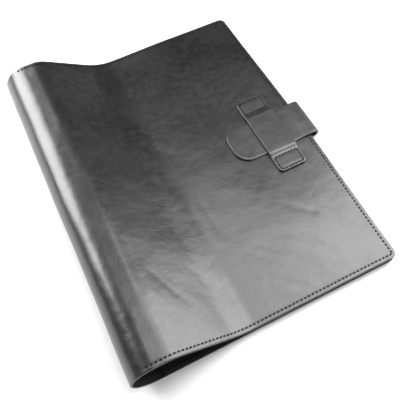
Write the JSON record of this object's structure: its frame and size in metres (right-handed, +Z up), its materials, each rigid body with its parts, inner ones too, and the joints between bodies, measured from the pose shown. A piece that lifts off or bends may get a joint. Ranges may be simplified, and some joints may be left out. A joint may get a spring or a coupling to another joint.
{
  "type": "leather notebook cover",
  "caption": "Wrap-round leather notebook cover with a rounded spine, stitched and lined panels that open flat, and a strap that tucks under a keeper on the front.",
  "frame": {"origin": "middle of the footprint of the closed cover, on the surface it lies on", "axes": "+X from the spine to the fore edge, +Y along the spine, +Z up out of the front cover"},
  "size_m": [0.1784, 0.225, 0.0308],
  "materials": {
    "black_leather": "smooth, semi-gloss, fine grain",
    "liner_leather": "matt, fine nap",
    "thread": "waxed thread"
  },
  "bodies": {
    "back_cover": {"back_cover_leather": "black_leather", "back_liner": "liner_leather", "back_edge_thread": "thread", "strap_root": "black_leather"},
    "spine_1": {"spine_leather_1": "black_leather"},
    "spine_2": {"spine_leather_2": "black_leather"},
    "spine_3": {"spine_leather_3": "black_leather"},
    "spine_4": {"spine_leather_4": "black_leather"},
    "spine_5": {"spine_leather_5": "black_leather", "crest_liner": "liner_leather", "crest_thread_near": "thread", "crest_thread_far": "thread"},
    "front_slope": {"front_slope_leather": "black_leather", "slope_liner": "liner_leather", "slope_thread_near": "thread", "slope_thread_far": "thread"},
    "front_cover": {"front_cover_leather": "black_leather", "front_liner": "liner_leather", "front_edge_thread": "thread", "keeper": "black_leather", "keeper_thread_near": "thread", "keeper_thread_far": "thread"},
    "strap_fold_1": {"strap_fold_1": "black_leather"},
    "strap_fold_2": {"strap_fold_2": "black_leather"},
    "strap_fold_3": {"strap_fold_3": "black_leather"},
    "strap_tongue": {"strap_tongue": "black_leather"}
  },
  "joints": [
    {"name": "cover_open", "type": "hinge", "parent": "back_cover", "child": "spine_1", "pos_m": [-0.07852, 0, 0.00073], "axis": [0, -1, 0], "range_deg": [0, 35]},
    {"name": "spine_bend_2", "type": "hinge", "parent": "spine_1", "child": "spine_2", "pos_m": [-0.08615, 0, 0.00613], "axis": [0, -1, 0], "range_deg": [0, 35]},
    {"name": "spine_bend_3", "type": "hinge", "parent": "spine_2", "child": "spine_3", "pos_m": [-0.08924, 0, 0.01495], "axis": [0, -1, 0], "range_deg": [0, 35]},
    {"name": "spine_bend_4", "type": "hinge", "parent": "spine_3", "child": "spine_4", "pos_m": [-0.08667, 0, 0.02394], "axis": [0, -1, 0], "range_deg": [0, 35]},
    {"name": "spine_bend_5", "type": "hinge", "parent": "spine_4", "child": "spine_5", "pos_m": [-0.07937, 0, 0.02978], "axis": [0, -1, 0], "range_deg": [0, 35]},
    {"name": "crest_bend", "type": "hinge", "parent": "spine_5", "child": "front_slope", "pos_m": [-0.06294, 0, 0.03026], "axis": [0, -1, 0], "range_deg": [0, 35]},
    {"name": "valley_bend", "type": "hinge", "parent": "front_slope", "child": "front_cover", "pos_m": [-0.02019, 0, 0.00379], "axis": [0, -1, 0], "range_deg": [-32, 0]},
    {"name": "strap_open", "type": "hinge", "parent": "back_cover", "child": "strap_fold_1", "pos_m": [0.087, 0, 0.00118], "axis": [0, 1, 0], "range_deg": [0, 45], "deforming": ["strap_fold_1"]},
    {"name": "strap_bend_2", "type": "hinge", "parent": "strap_fold_1", "child": "strap_fold_2", "pos_m": [0.08897, 0, 0.00315], "axis": [0, 1, 0], "range_deg": [0, 45], "deforming": ["strap_fold_2"]},
    {"name": "strap_bend_3", "type": "hinge", "parent": "strap_fold_2", "child": "strap_fold_3", "pos_m": [0.08897, 0, 0.00595], "axis": [0, 1, 0], "range_deg": [0, 45], "deforming": ["strap_fold_3"]},
    {"name": "strap_bend_4", "type": "hinge", "parent": "strap_fold_3", "child": "strap_tongue", "pos_m": [0.087, 0, 0.00792], "axis": [0, 1, 0], "range_deg": [0, 45], "deforming": ["strap_tongue"]}
  ],
  "couplings": [
    {"joint": "spine_bend_2", "follows": "cover_open", "ratio": 1},
    {"joint": "spine_bend_3", "follows": "cover_open", "ratio": 1},
    {"joint": "spine_bend_4", "follows": "cover_open", "ratio": 1},
    {"joint": "spine_bend_5", "follows": "cover_open", "ratio": 1},
    {"joint": "crest_bend", "follows": "cover_open", "ratio": 1},
    {"joint": "valley_bend", "follows": "cover_open", "ratio": -0.914},
    {"joint": "strap_bend_2", "follows": "strap_open", "ratio": 1},
    {"joint": "strap_bend_3", "follows": "strap_open", "ratio": 1},
    {"joint": "strap_bend_4", "follows": "strap_open", "ratio": 1}
  ]
}
